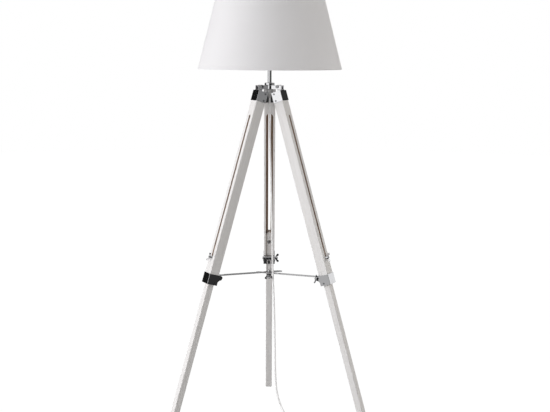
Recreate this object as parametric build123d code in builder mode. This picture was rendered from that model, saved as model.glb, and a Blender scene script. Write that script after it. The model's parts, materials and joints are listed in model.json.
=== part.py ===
from build123d import *
import os
from math import cos, pi, radians, sin, tan

# Tripod floor lamp, millimetres, +Z up.  The origin is on the lamp's axis, on the floor.
# Each leg is drawn once in its own frame: the origin is the leg's hinge pin, +X is square to
# the leg and outwards, +Y is along the pin, +Z is up along the leg.

# ------------------------------------------------------------------ driving dimensions
# overall
hinge_z = 1116.5            # height of the leg hinges above the floor
hinge_radius = 32.0         # from the lamp's axis to the hinge pins
leg_tilt = 17.1             # spread of each leg from the vertical, degrees
leg_azimuths = {"back": 90.0, "left": 210.0, "right": 330.0}
running_gap = 0.3           # between faces of pieces that move past each other
pin_clearance = 0.05        # radial, round pins, bolts and screws

# upper leg sections
leg_width = 36.0            # along the hinge pin
leg_depth = 32.0
leg_offset = -4.5           # the leg's centre line lies this far from the hinge pin
leg_top = -15.7
leg_bottom = -636.0
leg_edge = 1.2              # broken edges
channel_gap = 0.5           # beside the lower leg in its groove, each side
channel_wall = 6.5          # wood left on the outer side of the groove
channel_top = -86.0
slot_width = 8.0            # long slot through that wall, for the clamp bolt

# lower leg sections
lower_width = 22.0
lower_depth = 20.5
clamp_head_seat = 3.4       # depth of the seat for the clamp bolt's head
lower_top = -517.0
clamp_bolt_z = -553.5
foot_pad_thickness = 2.5
foot_pad_inset = 1.0

# leg caps and hinges
cap_wall = 1.2
cap_length = 33.0
tongue_width = 11.0
tongue_radius = 5.5
hinge_pin_radius = 2.5
hinge_head_radius = 5.5
hinge_head_height = 2.4
hinge_nut_across = 9.0
hinge_nut_height = 3.2
ear_thickness = 3.8
ear_length = 46.0           # reach of the hinge ears from the lamp's axis
ear_below_pin = 7.8
ear_above_pin = 3.9
heel_start = 4.0
heel_end = 11.5

# small screws on caps and collars
screw_radius = 1.5
screw_head_radius = 2.8
screw_head_height = 1.1
cap_screw_length = 11.0
collar_screw_length = 6.0
cap_screw_x = -12.5
cap_screw_drops = (6.0, 27.5)      # below the top of the cap
collar_screw_x = -9.0
collar_screw_rise = 6.5            # above the collar's lower edge

# collars at the lower end of the upper legs
collar_wall = 1.5
collar_length = 33.0
collar_arm_height = 17.0
brace_drop = 590.0          # height of the leg hinges above the brace pivots
brace_x = -28.0             # brace pivot in the leg's frame
brace_bolt_radius = 2.5
brace_head_radius = 5.0
brace_head_height = 3.0

# braces
brace_slope = 3.0           # degrees, falling towards the lamp's axis
brace_width = 15.0
brace_thickness = 1.8
brace_slot_width = 8.0
brace_tail = 48.0           # beyond the hub
brace_slot_margin = 9.0
brace_slot_start = 20.0     # from the pivot
barrel_radius = 5.5
brace_pitch = 3.6           # height between neighbouring braces at the hub
brace_levels = {"left": 1, "right": 0, "back": -1}
brace_lift = 0.6            # middle brace above its pivot

# hub
hub_bolt_radius = 3.0
hub_head_radius = 6.5
hub_head_height = 4.5
washer_radius = 7.0
spacer_thickness = 0.7
hub_washer_thickness = 1.2

# wing nuts
nut_height = 8.0
nut_base_radius = 5.6
nut_top_radius = 4.2
wing_reach = 14.0
wing_height = 13.0
wing_thickness = 2.2
bolt_proud = 2.0            # bolt end beyond the nut

# head casting, disc and stem
casting_radius = 15.0
disc_radius = 16.0
disc_height = 7.6
stem_radius = 6.5
stem_bore = 5.4
stem_length = 58.0
pipe_radius = 5.0
pipe_bore = 3.3
pipe_below = 9.0            # thread below the casting
pipe_above = 8.0            # thread inside the lamp holder
relief_radius = 7.0
relief_tip_radius = 3.6
relief_length = 24.0
relief_overlap = 6.0        # of the strain relief over the pipe's thread

# lamp holder and bulb
holder_radius = 20.0
holder_wall = 2.0
holder_base_height = 20.0
holder_shell_height = 38.0
holder_bore = 14.2
holder_flange_radius = 24.0
holder_flange_height = 3.5
clamp_ring_radius = 28.0
clamp_ring_height = 6.0
insert_radius = 13.6
insert_height = 9.0
insert_lift = 1.0           # above the seam of the lamp holder
contact_radius = 3.0
contact_height = 3.0
bulb_cap_radius = 13.4
bulb_cap_height = 26.0
bulb_radius = 30.0
bulb_height = 76.0
bulb_neck_radius = 14.6
bulb_wall = 1.0

# shade
shade_bottom_z = 1170.0
shade_height = 300.0
shade_bottom_radius = 225.0
shade_top_radius = 147.0
fabric_thickness = 1.5
shade_wire = 1.6            # radius of the ring wires
shade_inset = 2.2           # wires stand this far inside the fabric's ends
fitter_arm_wire = 1.75
fitter_ring_radius = 33.0
fitter_ring_thickness = 1.5

# mains cord
cord_radius = 2.75
cord_run_share = 0.45       # of the shorter run, taken by each arc
coil_center = (-81.25, -118.0)
coil_radii = (30.25, 35.75)
coil_layers = 2
coil_turns = 3.25           # turns of cord the bundle holds
coil_stub = 21.0
tie_turn = -45.0            # place of the tie around the coil, degrees
tie_arc = 24.0
tie_thickness = 1.0

# inline switch
switch_center = (-16.0, -203.0)
switch_angle = 4.0
switch_length = 64.0
switch_width = 34.0
switch_base_height = 9.0
switch_height = 22.0
switch_wall = 2.0
switch_corner = 10.0
switch_boss_radius = 4.6
switch_boss_length = 8.0
switch_cord_z = 5.0
switch_lead_length = 18.0    # straight cord at each end of the switch
button_radius = 10.0
button_flange = 1.8
button_flange_height = 2.5
button_proud = 3.5

# plug
plug_angle = -10.0
plug_body_length = 36.0
plug_width = 27.0
plug_height = 14.0
plug_tail_length = 16.0
plug_tail_radius = 5.0
plug_lead_length = 16.0      # straight cord behind the plug
plug_pin_radius = 2.0
plug_pin_length = 19.0
plug_pin_pitch = 18.6
plug_pin_buried = 8.0
plug_root_radius = 1.7      # part of each pin inside the plug

# ------------------------------------------------------------------ derived positions
tilt = radians(leg_tilt)
slope = radians(brace_slope)
leg_inner = leg_offset - leg_depth / 2
leg_outer = leg_offset + leg_depth / 2
channel_floor = leg_outer - channel_wall
cap_top = leg_top + cap_wall
cap_bottom = cap_top - cap_length
collar_bottom = leg_bottom
collar_top = collar_bottom + collar_length
lower_outer = channel_floor - running_gap
lower_center = lower_outer - lower_depth / 2
channel_width = lower_width + 2 * channel_gap
casting_bottom = hinge_z - ear_below_pin
casting_top = hinge_z + ear_above_pin
ear_inner = tongue_width / 2 + running_gap
ear_outer = ear_inner + ear_thickness
disc_top = casting_top + disc_height
stem_top = disc_top + stem_length
brace_z = hinge_z - brace_drop
brace_leg_z = -(brace_drop + brace_x * sin(tilt)) / cos(tilt)
brace_radius = hinge_radius + brace_x * cos(tilt) - brace_leg_z * sin(tilt)
hub_z = brace_z + brace_lift / cos(slope) - brace_radius * tan(slope)
hub_stack = {name: hub_z + level * brace_pitch for name, level in brace_levels.items()}
hub_top = max(hub_stack.values()) + brace_thickness / 2 + washer_radius * tan(slope) + running_gap
hub_bottom = min(hub_stack.values()) - brace_thickness / 2 - washer_radius * tan(slope) - running_gap
holder_bottom = stem_top
shell_bottom = holder_bottom + holder_base_height
fitter_z = shell_bottom + holder_flange_height
clamp_ring_z = fitter_z + fitter_ring_thickness
insert_bottom = shell_bottom + insert_lift
bulb_bottom = insert_bottom + insert_height + contact_height
bulb_neck_z = bulb_bottom + bulb_cap_height
relief_top = casting_bottom
cord_exit_z = relief_top - pipe_below - relief_length + relief_overlap

os.makedirs("parts", exist_ok=True)


def save(part, name):
    """Label a finished piece and write it as one STEP file."""
    part.label = name
    export_step(part, f"parts/{name}.step")


def leg_frame(azimuth):
    """Place of a leg's own frame: its hinge pin, with the leg's tilt."""
    around = radians(azimuth)
    outward = (cos(tilt) * cos(around), cos(tilt) * sin(around), sin(tilt))
    along = (-sin(tilt) * cos(around), -sin(tilt) * sin(around), cos(tilt))
    pin = (hinge_radius * cos(around), hinge_radius * sin(around), hinge_z)
    return Plane(origin=pin, x_dir=outward, z_dir=along).location


def save_on_legs(part, stem):
    """Write one copy of a leg piece for each leg."""
    for side, azimuth in leg_azimuths.items():
        save(leg_frame(azimuth) * part, f"{stem}_{side}")


def turned(profile_plane_points):
    """A body of revolution about the lamp's axis, from (radius, height) points."""
    with BuildPart() as body:
        with BuildSketch(Plane.XZ):
            with BuildLine():
                Polyline(*profile_plane_points, close=True)
            make_face()
        revolve(axis=Axis.Z)
    return body.part


def wing_nut(bolt_radius):
    """A wing nut standing on the XY plane, with its bolt hole on the Z axis."""
    with BuildPart() as nut:
        with BuildSketch(Plane.XZ):
            with BuildLine():
                Polyline((0, 0), (nut_base_radius, 0), (nut_base_radius, 1.5),
                         (nut_top_radius, nut_height), (0, nut_height), close=True)
            make_face()
        revolve(axis=Axis.Z)
        with BuildSketch(Plane.XZ) as wing:
            with BuildLine():
                Polyline((0, 2.0), (6.5, 2.5), (wing_reach, 7.0), (wing_reach, wing_height),
                         (wing_reach - 5.5, wing_height), (4.0, 7.0), (0, 6.5), close=True)
            make_face()
            fillet(wing.vertices().sort_by(Axis.X)[-3:], 2.2)
            mirror(about=Plane.YZ)
        extrude(amount=wing_thickness / 2, both=True)
        Hole(bolt_radius + pin_clearance)
    return nut.part


# ------------------------------------------------------------------ legs
with BuildPart() as upper_leg:
    with BuildSketch(Plane.XY.offset(leg_bottom)):
        with Locations((leg_offset, 0)):
            Rectangle(leg_depth, leg_width)
    extrude(amount=leg_top - leg_bottom)
    chamfer(upper_leg.edges().filter_by(Axis.Z), leg_edge)
    # groove for the lower leg, open inwards and at the lower end, round at the top
    with BuildSketch(Plane.YZ.offset(leg_inner)):
        with Locations((0, channel_top - channel_width / 2)):
            Circle(channel_width / 2)
        with Locations((0, channel_top - channel_width / 2)):
            Rectangle(channel_width, -leg_bottom, align=(Align.CENTER, Align.MAX))
    extrude(amount=leg_depth - channel_wall, mode=Mode.SUBTRACT)
    # slot for the clamp bolt, which stops on its lower end
    slot_top_center = channel_top - channel_width / 2
    slot_bottom_center = clamp_bolt_z + slot_width / 2 - hub_bolt_radius - running_gap
    with BuildSketch(Plane.YZ.offset(leg_inner)):
        with Locations((0, (slot_top_center + slot_bottom_center) / 2)):
            SlotCenterToCenter(slot_top_center - slot_bottom_center, slot_width, rotation=90)
    extrude(amount=leg_depth, mode=Mode.SUBTRACT)
    # pilot holes for the cap and collar screws, on both sides
    for face in (-1, 1):
        with Locations(Plane((0, face * leg_width / 2, 0), x_dir=(1, 0, 0), z_dir=(0, face, 0))):
            with Locations(*[(cap_screw_x, -face * (cap_top - drop)) for drop in cap_screw_drops]):
                Hole(screw_radius + pin_clearance, depth=cap_screw_length)
            with Locations((collar_screw_x, -face * (collar_bottom + collar_screw_rise))):
                Hole(screw_radius + pin_clearance, depth=collar_screw_length)
save_on_legs(upper_leg.part, "upper_leg")

with BuildPart() as lower_leg:
    floor_reach = hinge_z / cos(tilt) + leg_depth
    with BuildSketch(Plane.XY.offset(-floor_reach)):
        with Locations((lower_center, 0)):
            Rectangle(lower_depth, lower_width)
    extrude(amount=floor_reach + lower_top)
    chamfer(lower_leg.edges().filter_by(Axis.Z), leg_edge)
    # fully rounded top end
    with BuildSketch(Plane.YZ.offset(lower_outer - lower_depth)):
        with Locations((0, lower_top - lower_width / 2)):
            Rectangle(lower_width + 2, lower_width + 2, align=(Align.CENTER, Align.MIN))
            Circle(lower_width / 2, mode=Mode.SUBTRACT)
    extrude(amount=lower_depth, mode=Mode.SUBTRACT)
    # clamp bolt hole with a sunk seat for its head on the inner side
    with Locations(Plane((lower_outer - lower_depth, 0, clamp_bolt_z), z_dir=(-1, 0, 0))):
        CounterBoreHole(hub_bolt_radius + pin_clearance, hub_head_radius + running_gap, clamp_head_seat)
    # the foot is cut flat, above its pad
    pad_seat = -(hinge_z - foot_pad_thickness) / cos(tilt)
    pad_plane = Plane((0, 0, pad_seat), z_dir=(sin(tilt), 0, cos(tilt)))
    split(bisect_by=pad_plane, keep=Keep.TOP)
save_on_legs(lower_leg.part, "lower_leg")

with BuildPart() as foot_pad:
    with BuildSketch(Plane.XY.offset(-floor_reach)):
        with Locations((lower_center, 0)):
            RectangleRounded(lower_depth - 2 * foot_pad_inset, lower_width - 2 * foot_pad_inset, 2.0)
    extrude(amount=leg_depth * 2)
    floor_plane = Plane((0, 0, -hinge_z / cos(tilt)), z_dir=(sin(tilt), 0, cos(tilt)))
    split(bisect_by=pad_plane, keep=Keep.BOTTOM)
    split(bisect_by=floor_plane, keep=Keep.TOP)
save_on_legs(foot_pad.part, "foot_pad")

# ------------------------------------------------------------------ leg caps with hinge tongues
with BuildPart() as leg_cap:
    with BuildSketch(Plane.XY.offset(cap_bottom)):
        with Locations((leg_offset, 0)):
            Rectangle(leg_depth + 2 * cap_wall, leg_width + 2 * cap_wall)
    extrude(amount=cap_length)
    fillet(leg_cap.edges().filter_by(Axis.Z), leg_edge)
    with BuildSketch(Plane.XY.offset(cap_bottom)) as cap_hollow:
        with Locations((leg_offset, 0)):
            Rectangle(leg_depth, leg_width)
        chamfer(cap_hollow.vertices(), leg_edge)
    extrude(amount=cap_length - cap_wall, mode=Mode.SUBTRACT)
    # tongue up to the hinge pin
    with BuildSketch(Plane.XZ):
        Circle(tongue_radius)
        Rectangle(2 * tongue_radius, -cap_top + 0.2, align=(Align.CENTER, Align.MAX))
    extrude(amount=tongue_width / 2, both=True)
    # heel that meets the ears' underside when the leg is fully spread
    heel_top = [(-ear_below_pin - running_gap - x * sin(tilt)) / cos(tilt) for x in (heel_start, heel_end)]
    with BuildSketch(Plane.XZ):
        with BuildLine():
            Polyline((heel_start, cap_top - 0.2), (heel_end, cap_top - 0.2),
                     (heel_end, heel_top[1]), (heel_start, heel_top[0]), close=True)
        make_face()
    extrude(amount=ear_outer, both=True)
    with Locations(Plane.XZ):
        Hole(hinge_pin_radius + pin_clearance)
    for face in (-1, 1):
        side_plane = Plane((0, face * (leg_width / 2 + cap_wall), 0), x_dir=(1, 0, 0), z_dir=(0, face, 0))
        with Locations(side_plane):
            with Locations(*[(cap_screw_x, -face * (cap_top - drop)) for drop in cap_screw_drops]):
                Hole(screw_radius + pin_clearance, depth=cap_wall)
save_on_legs(leg_cap.part, "leg_cap")

# ------------------------------------------------------------------ collars
with BuildPart() as collar:
    arm_reach = brace_x - brace_head_radius
    with BuildSketch(Plane.XY.offset(collar_bottom)):
        with Locations((leg_offset, 0)):
            Rectangle(leg_depth + 2 * collar_wall, leg_width + 2 * collar_wall)
    extrude(amount=collar_length)
    fillet(collar.edges().filter_by(Axis.Z), leg_edge)
    # side arms that carry the brace bolt
    with BuildSketch(Plane.XZ):
        with BuildLine():
            Polyline((leg_inner, collar_top), (brace_x, collar_top),
                     (arm_reach, collar_top - 4), (arm_reach, collar_top - collar_arm_height + 5),
                     (brace_x + 3, collar_top - collar_arm_height),
                     (leg_inner, collar_top - collar_arm_height - 6), close=True)
        make_face()
    extrude(amount=leg_width / 2 + collar_wall, both=True)
    with BuildSketch(Plane.XY.offset(collar_bottom)):
        with Locations((arm_reach - 1, 0)):
            Rectangle(leg_inner - collar_wall - arm_reach + 1, leg_width, align=(Align.MIN, Align.CENTER))
    extrude(amount=collar_length + 1, mode=Mode.SUBTRACT)
    with BuildSketch(Plane.XY.offset(collar_bottom)) as collar_hollow:
        with Locations((leg_offset, 0)):
            Rectangle(leg_depth, leg_width)
        chamfer(collar_hollow.vertices(), leg_edge)
    extrude(amount=collar_length, mode=Mode.SUBTRACT)
    with Locations(Plane((brace_x, 0, brace_leg_z), z_dir=(0, 1, 0))):
        Hole(brace_bolt_radius + pin_clearance)
    for face in (-1, 1):
        side_plane = Plane((0, face * (leg_width / 2 + collar_wall), 0), x_dir=(1, 0, 0),
                           z_dir=(0, face, 0))
        with Locations(side_plane):
            with Locations((collar_screw_x, -face * (collar_bottom + collar_screw_rise))):
                Hole(screw_radius + pin_clearance, depth=collar_wall)
save_on_legs(collar.part, "collar")

# ------------------------------------------------------------------ screws of cap and collar
with BuildPart() as bracket_screws:
    for face in (-1, 1):
        cap_side = Plane((0, face * (leg_width / 2 + cap_wall), 0), x_dir=(1, 0, 0), z_dir=(0, face, 0))
        with Locations(cap_side):
            with Locations(*[(cap_screw_x, -face * (cap_top - drop)) for drop in cap_screw_drops]):
                Cylinder(screw_head_radius, screw_head_height,
                         align=(Align.CENTER, Align.CENTER, Align.MIN))
                Cylinder(screw_radius, cap_screw_length, align=(Align.CENTER, Align.CENTER, Align.MAX))
        collar_side = Plane((0, face * (leg_width / 2 + collar_wall), 0), x_dir=(1, 0, 0),
                            z_dir=(0, face, 0))
        with Locations(collar_side):
            with Locations((collar_screw_x, -face * (collar_bottom + collar_screw_rise))):
                Cylinder(screw_head_radius, screw_head_height,
                         align=(Align.CENTER, Align.CENTER, Align.MIN))
                Cylinder(screw_radius, collar_screw_length, align=(Align.CENTER, Align.CENTER, Align.MAX))
save_on_legs(bracket_screws.part, "bracket_screws")

# ------------------------------------------------------------------ brace bolts and their wing nuts
with BuildPart() as brace_bolt:
    half_span = leg_width / 2 + collar_wall
    bolt_end = -(half_span + running_gap + nut_height + bolt_proud)
    with BuildSketch(Plane.XZ.offset(-half_span)):
        with Locations((brace_x, brace_leg_z)):
            Circle(brace_bolt_radius)
    extrude(amount=half_span - bolt_end)
    with BuildSketch(Plane.XZ.offset(-half_span)):
        with Locations((brace_x, brace_leg_z)):
            RegularPolygon(brace_head_radius, 6)
    extrude(amount=-brace_head_height)
save_on_legs(brace_bolt.part, "brace_bolt")

brace_nut = Plane((brace_x, -half_span - running_gap, brace_leg_z), x_dir=(0.5, 0, 0.87),
                  z_dir=(0, -1, 0)).location
save_on_legs(brace_nut * wing_nut(brace_bolt_radius), "brace_wing_nut")

# ------------------------------------------------------------------ clamp bolts and their wing nuts
with BuildPart() as clamp_bolt:
    head_seat = lower_outer - lower_depth + clamp_head_seat
    with BuildSketch(Plane.YZ.offset(head_seat)):
        with Locations((0, clamp_bolt_z)):
            Circle(hub_bolt_radius)
    extrude(amount=leg_outer + running_gap + nut_height + bolt_proud - head_seat)
    with BuildSketch(Plane.YZ.offset(head_seat)):
        with Locations((0, clamp_bolt_z)):
            Circle(hub_head_radius)
    extrude(amount=-3.0)
    fillet(clamp_bolt.edges().sort_by(Axis.X)[0], 1.2)
save_on_legs(clamp_bolt.part, "clamp_bolt")

clamp_nut = Plane((leg_outer + running_gap, 0, clamp_bolt_z), x_dir=(0, 0.35, 0.94),
                  z_dir=(1, 0, 0)).location
save_on_legs(clamp_nut * wing_nut(hub_bolt_radius), "clamp_wing_nut")

# ------------------------------------------------------------------ braces
for side, azimuth in leg_azimuths.items():
    lift = brace_lift + brace_levels[side] * brace_pitch * cos(slope)
    pivot = Vector(brace_radius, 0, brace_z)
    up = Vector(-sin(slope), 0, cos(slope))
    strap_plane = Plane(pivot + up * (lift - brace_thickness / 2),
                        x_dir=(cos(slope), 0, sin(slope)), z_dir=up)
    hub_reach = brace_radius / cos(slope)
    slot_end = hub_reach + brace_tail - brace_slot_margin
    with BuildPart() as brace:
        with BuildSketch(strap_plane):
            Rectangle(hub_reach + brace_tail - brace_width / 2, brace_width,
                      align=(Align.MAX, Align.CENTER))
            with Locations((-(hub_reach + brace_tail - brace_width / 2), 0)):
                Circle(brace_width / 2)
            with Locations((-(brace_slot_start + slot_end) / 2, 0)):
                SlotOverall(slot_end - brace_slot_start, brace_slot_width, mode=Mode.SUBTRACT)
        extrude(amount=brace_thickness)
        with Locations(Plane(pivot, z_dir=(0, 1, 0))):
            Cylinder(barrel_radius, leg_width - 2 * running_gap)
            Hole(brace_bolt_radius + pin_clearance)
    save(Rot(0, 0, azimuth) * brace.part, f"brace_{side}")

# ------------------------------------------------------------------ hub
with BuildPart() as hub_bolt:
    with BuildSketch(Plane.XY.offset(hub_top + hub_washer_thickness)):
        Circle(hub_head_radius)
    extrude(amount=hub_head_height, taper=18)
    with BuildSketch(Plane.XY.offset(hub_top + hub_washer_thickness)):
        Circle(hub_bolt_radius)
    stack_height = hub_top - hub_bottom + 2 * hub_washer_thickness
    extrude(amount=-(stack_height + running_gap + nut_height + bolt_proud))
save(hub_bolt.part, "hub_bolt")

with BuildPart() as hub_washers:
    levels = sorted(hub_stack.values())
    spacer_heights = [(low + high - spacer_thickness) / 2 for low, high in zip(levels, levels[1:])]
    for height in spacer_heights:
        with BuildSketch(Plane.XY.offset(height)):
            Circle(washer_radius)
            Circle(hub_bolt_radius + pin_clearance, mode=Mode.SUBTRACT)
        extrude(amount=spacer_thickness)
    for height in (hub_top, hub_bottom - hub_washer_thickness):
        with BuildSketch(Plane.XY.offset(height)):
            Circle(washer_radius)
            Circle(hub_bolt_radius + pin_clearance, mode=Mode.SUBTRACT)
        extrude(amount=hub_washer_thickness)
save(hub_washers.part, "hub_washers")

hub_nut_z = hub_bottom - hub_washer_thickness - running_gap
hub_nut = Plane((0, 0, hub_nut_z), x_dir=(0.94, 0.34, 0), z_dir=(0, 0, -1)).location
save(hub_nut * wing_nut(hub_bolt_radius), "hub_wing_nut")

# ------------------------------------------------------------------ head
with BuildPart() as head_casting:
    with BuildSketch(Plane.XY.offset(casting_bottom)):
        Circle(casting_radius)
        with PolarLocations(0, 3, start_angle=90):
            Rectangle(ear_length, 2 * ear_outer, align=(Align.MIN, Align.CENTER))
        with PolarLocations(hinge_radius - tongue_radius - 2.0, 3, start_angle=90):
            Rectangle(ear_length, 2 * ear_inner, align=(Align.MIN, Align.CENTER), mode=Mode.SUBTRACT)
    extrude(amount=casting_top - casting_bottom)
    fillet(head_casting.edges().filter_by(Axis.Z).group_by(SortBy.DISTANCE)[-1], 1.0)
    with Locations(*[Plane((0, 0, hinge_z), x_dir=(cos(radians(a)), sin(radians(a)), 0),
                           z_dir=(-sin(radians(a)), cos(radians(a)), 0)) for a in leg_azimuths.values()]):
        with Locations((hinge_radius, 0)):
            Hole(hinge_pin_radius + pin_clearance, depth=ear_length)
    with Locations((0, 0, casting_bottom)):
        Hole(pipe_radius + pin_clearance)
save(head_casting.part, "head_casting")

with BuildPart() as hinge_screws:
    for azimuth in leg_azimuths.values():
        around = radians(azimuth)
        outward = Vector(cos(around), sin(around), 0)
        along_pin = Vector(-sin(around), cos(around), 0)
        seat = outward * hinge_radius + along_pin * ear_outer + Vector(0, 0, hinge_z)
        nut_seat = outward * hinge_radius - along_pin * ear_outer + Vector(0, 0, hinge_z)
        with BuildSketch(Plane(seat, z_dir=along_pin)):
            Circle(hinge_pin_radius)
        extrude(amount=-(2 * ear_outer + hinge_nut_height + 1.2))
        with BuildSketch(Plane(seat, z_dir=along_pin)):
            Circle(hinge_head_radius)
        extrude(amount=hinge_head_height, taper=20)
        with BuildSketch(Plane(nut_seat, z_dir=-along_pin)):
            RegularPolygon(hinge_nut_across / 2, 6, major_radius=False)
            Circle(hinge_pin_radius, mode=Mode.SUBTRACT)
        extrude(amount=hinge_nut_height)
save(hinge_screws.part, "hinge_screws")

with BuildPart() as head_disc:
    with BuildSketch(Plane.XY.offset(casting_top)):
        Circle(disc_radius)
        Circle(pipe_radius + pin_clearance, mode=Mode.SUBTRACT)
    extrude(amount=disc_height)
    fillet(head_disc.edges().filter_by(GeomType.CIRCLE).group_by(SortBy.RADIUS)[-1], 1.4)
save(head_disc.part, "head_disc")

save(turned([(stem_bore, disc_top), (stem_radius, disc_top), (stem_radius, stem_top),
             (stem_bore, stem_top)]),
     "stem_tube")

save(turned([(pipe_bore, casting_bottom - pipe_below), (pipe_radius, casting_bottom - pipe_below),
             (pipe_radius, stem_top + pipe_above), (pipe_bore, stem_top + pipe_above)]), "threaded_pipe")

# cap nut and tapered strain relief below the casting; the cord starts at its tip
save(turned([(pipe_radius + pin_clearance, relief_top), (relief_radius + 1.5, relief_top),
             (relief_radius + 1.5, relief_top - 5), (relief_radius, relief_top - 6),
             (relief_radius, relief_top - pipe_below), (relief_tip_radius, cord_exit_z),
             (0, cord_exit_z), (0, relief_top - pipe_below - 1),
             (pipe_radius + pin_clearance, relief_top - pipe_below - 1)]), "strain_relief")

# ------------------------------------------------------------------ lamp holder
save(turned([(pipe_radius + pin_clearance, holder_bottom), (10, holder_bottom),
             (holder_radius - 1, shell_bottom - 6),
             (holder_radius, shell_bottom - 4), (holder_radius, shell_bottom),
             (holder_radius - holder_wall, shell_bottom), (holder_radius - holder_wall, shell_bottom - 5),
             (9, holder_bottom + 3), (pipe_radius + pin_clearance, holder_bottom + 3)]), "holder_base")

save(turned([(holder_bore, shell_bottom), (holder_flange_radius, shell_bottom),
             (holder_flange_radius, fitter_z), (holder_radius, fitter_z),
             (holder_radius, shell_bottom + holder_shell_height - 1),
             (holder_radius - 1, shell_bottom + holder_shell_height),
             (holder_bore, shell_bottom + holder_shell_height)]), "holder_shell")

save(turned([(holder_radius + pin_clearance, clamp_ring_z), (clamp_ring_radius, clamp_ring_z),
             (clamp_ring_radius, clamp_ring_z + clamp_ring_height - 1),
             (clamp_ring_radius - 1, clamp_ring_z + clamp_ring_height),
             (holder_radius + pin_clearance, clamp_ring_z + clamp_ring_height)]), "clamp_ring")

save(turned([(0, insert_bottom), (insert_radius, insert_bottom),
             (insert_radius, insert_bottom + insert_height),
             (contact_radius, insert_bottom + insert_height),
             (contact_radius, insert_bottom + insert_height + contact_height - 0.3),
             (0, insert_bottom + insert_height + contact_height - 0.3)]), "holder_insert")

save(turned([(0, bulb_bottom), (4.5, bulb_bottom), (bulb_cap_radius, bulb_bottom + 6),
             (bulb_cap_radius, bulb_neck_z), (0, bulb_neck_z)]), "bulb_cap")


def bulb_outline(inset):
    """Half outline of the bulb's glass, from its neck to its crown, inset by the wall."""
    neck = bulb_neck_radius - inset
    round_radius = bulb_radius - inset
    center_z = bulb_neck_z + bulb_height - bulb_radius
    waist = (round_radius * cos(radians(-22)), center_z + round_radius * sin(radians(-22)))
    Line((bulb_cap_radius - inset, bulb_neck_z), (neck, bulb_neck_z + 12))
    ThreePointArc((neck, bulb_neck_z + 12), (neck + 4.4, bulb_neck_z + 23), waist)
    ThreePointArc(waist, (round_radius * cos(radians(34)), center_z + round_radius * sin(radians(34))),
                  (0, center_z + round_radius))


with BuildPart() as bulb_glass:
    with BuildSketch(Plane.XZ):
        with BuildLine():
            bulb_outline(0)
            Line((bulb_cap_radius, bulb_neck_z), (bulb_cap_radius - bulb_wall, bulb_neck_z))
            bulb_outline(bulb_wall)
            Line((0, bulb_neck_z + bulb_height - bulb_wall), (0, bulb_neck_z + bulb_height))
        make_face()
    revolve(axis=Axis.Z)
save(bulb_glass.part, "bulb_glass")

# ------------------------------------------------------------------ shade
shade_top_z = shade_bottom_z + shade_height
shade_slope = (shade_bottom_radius - shade_top_radius) / shade_height

save(turned([(shade_bottom_radius - fabric_thickness, shade_bottom_z),
             (shade_bottom_radius, shade_bottom_z),
             (shade_top_radius, shade_top_z), (shade_top_radius - fabric_thickness, shade_top_z)]),
     "shade_fabric")


def ring_radius(height):
    """Centre line radius of a ring wire that lies just inside the fabric at a height."""
    inner = shade_bottom_radius - fabric_thickness - shade_slope * (height - shade_bottom_z)
    return inner - shade_wire - running_gap


top_ring_z = shade_top_z - shade_inset
with BuildPart() as shade_top_ring:
    with BuildSketch(Plane.XZ):
        with Locations((ring_radius(top_ring_z), top_ring_z)):
            Circle(shade_wire)
    revolve(axis=Axis.Z)
save(shade_top_ring.part, "shade_top_ring")

bottom_ring_z = shade_bottom_z + shade_inset
with BuildPart() as shade_frame:
    with BuildSketch(Plane.XZ):
        with Locations((ring_radius(bottom_ring_z), bottom_ring_z)):
            Circle(shade_wire)
    revolve(axis=Axis.Z)
    with BuildSketch(Plane.XY.offset(fitter_z)):
        Circle(fitter_ring_radius)
        Circle(holder_radius + pin_clearance, mode=Mode.SUBTRACT)
    extrude(amount=fitter_ring_thickness)
    for azimuth in leg_azimuths.values():
        around = radians(azimuth)
        arm_start = Vector(cos(around), sin(around), 0) * (fitter_ring_radius - 1.0)
        arm_start += Vector(0, 0, fitter_z + fitter_ring_thickness / 2)
        outwards = Vector(cos(around), sin(around), 0)
        arm_end = outwards * ring_radius(bottom_ring_z) + Vector(0, 0, bottom_ring_z)
        with BuildSketch(Plane(arm_start, z_dir=arm_end - arm_start)):
            Circle(fitter_arm_wire)
        extrude(amount=(arm_end - arm_start).length)
save(shade_frame.part, "shade_frame")

# ------------------------------------------------------------------ mains cord
def arc_radii(points):
    """Largest tangent arc at each corner that both of its runs allow."""
    radii = []
    for before, corner, after in zip(points, points[1:], points[2:]):
        first = Vector(*corner) - Vector(*before)
        second = Vector(*after) - Vector(*corner)
        half_turn = radians(first.get_angle(second) / 2)
        radii.append(cord_run_share * min(first.length, second.length) / tan(half_turn))
    return radii


def cord_tube(routes, name):
    """Round cord along each route, as straight runs joined by tangent arcs."""
    length = 0
    with BuildPart() as tube:
        for points in routes:
            radii = arc_radii(points)
            start = Vector(*points[0])
            with BuildLine() as path:
                FilletPolyline(*points, radius=radii)
            with BuildSketch(Plane(start, z_dir=Vector(*points[1]) - start)):
                Circle(cord_radius)
            sweep(path=path.wires()[0])
            length += path.wires()[0].length
            print(name, "arc radii", [round(radius) for radius in radii])
    share = tube.part.volume / (length * pi * cord_radius ** 2)
    print(name, "length", round(length, 1), "volume share", round(share, 4))
    save(tube.part, name)
    return length


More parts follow.
